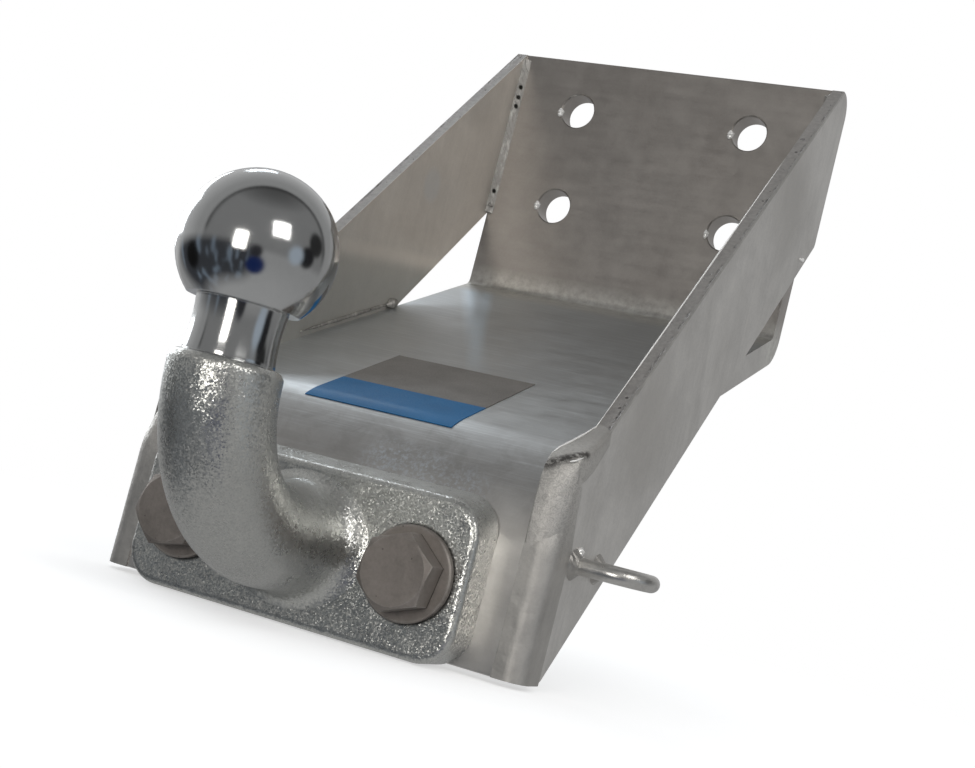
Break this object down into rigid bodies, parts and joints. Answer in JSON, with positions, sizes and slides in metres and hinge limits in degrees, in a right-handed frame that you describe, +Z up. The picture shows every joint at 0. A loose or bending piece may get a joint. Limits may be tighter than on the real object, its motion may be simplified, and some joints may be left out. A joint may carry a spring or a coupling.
{
  "type": "trailer coupling",
  "caption": "Bolt-on tow ball bracket: a galvanised tray bracket with a vehicle face at the back and a flanged swan-neck tow ball bolted to its front plate.",
  "frame": {"origin": "centre of the four vehicle bolt holes on the back wall's rear face", "axes": "+X across to the side with the safety eye, +Y towards the vehicle, +Z up"},
  "size_m": [0.1995, 0.345, 0.2865],
  "materials": {
    "galvanised_steel": "hot-dip galvanised, dull and mottled",
    "weld_metal": "ground and galvanised over",
    "coated_fasteners": "matt zinc coating",
    "ball_flange_steel": "forged and galvanised, with a polished ball and neck",
    "label_film": "printed film, a grey field and a blue field"
  },
  "bodies": {
    "root": {"folded_plate": "galvanised_steel", "side_plate_left": "galvanised_steel", "side_plate_right": "galvanised_steel", "safety_eye": "galvanised_steel", "corner_weld_left": "weld_metal", "corner_weld_right": "weld_metal", "back_weld_left": "weld_metal", "back_weld_right": "weld_metal", "floor_weld_left": "weld_metal", "floor_weld_right": "weld_metal", "eye_weld_front": "weld_metal", "eye_weld_rear": "weld_metal", "bolt_left": "coated_fasteners", "bolt_right": "coated_fasteners", "washer_left": "coated_fasteners", "washer_right": "coated_fasteners", "spring_washer_left": "coated_fasteners", "spring_washer_right": "coated_fasteners", "nut_left": "coated_fasteners", "nut_right": "coated_fasteners", "ball_flange": "ball_flange_steel", "label": "label_film"}
  },
  "joints": []
}
